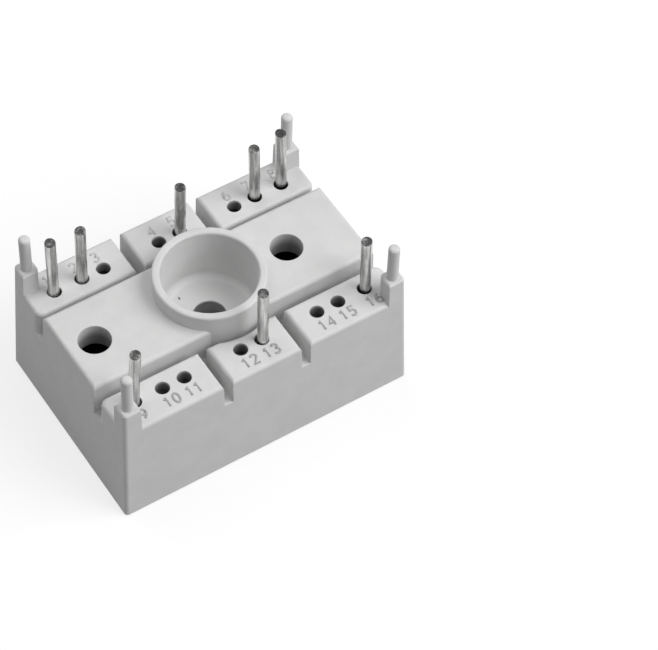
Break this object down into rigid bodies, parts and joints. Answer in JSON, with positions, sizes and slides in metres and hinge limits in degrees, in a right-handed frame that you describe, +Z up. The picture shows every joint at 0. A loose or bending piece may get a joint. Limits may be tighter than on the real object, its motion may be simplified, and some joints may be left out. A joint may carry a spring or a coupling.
{
  "type": "bridge rectifier module",
  "caption": "Moulded rectifier module for board mounting, with upright solder pins, corner pegs and a central cup for the screw that holds it to a heatsink.",
  "frame": {"origin": "on the screw axis, in the plane of the heatsink face (centre of the underside)", "axes": "+Z up along the screw axis and the pins, +X along the long side towards pins 8 and 16, +Y towards the row of pins 1 to 8"},
  "size_m": [0.0404, 0.0276, 0.0252],
  "materials": {
    "housing": "light grey moulded plastic, matt with a fine texture",
    "copper": "bare copper foil",
    "ceramic": "white alumina",
    "silicon": "passivated silicon",
    "tinned_wire": "hot-tinned copper wire",
    "potting": "soft silicone compound"
  },
  "bodies": {
    "root": {"housing": "housing", "base_foil": "copper", "ceramic_tile": "ceramic", "potting": "potting", "land_minus": "copper", "land_plus": "copper", "land_phase_1": "copper", "land_phase_2": "copper", "land_phase_3": "copper", "diode_chip_1": "silicon", "diode_chip_2": "silicon", "diode_chip_3": "silicon", "diode_chip_4": "silicon", "diode_chip_5": "silicon", "diode_chip_6": "silicon", "pin_1": "tinned_wire", "pin_2": "tinned_wire", "pin_5": "tinned_wire", "pin_7": "tinned_wire", "pin_8": "tinned_wire", "pin_9": "tinned_wire", "pin_13": "tinned_wire", "pin_16": "tinned_wire"}
  },
  "joints": []
}
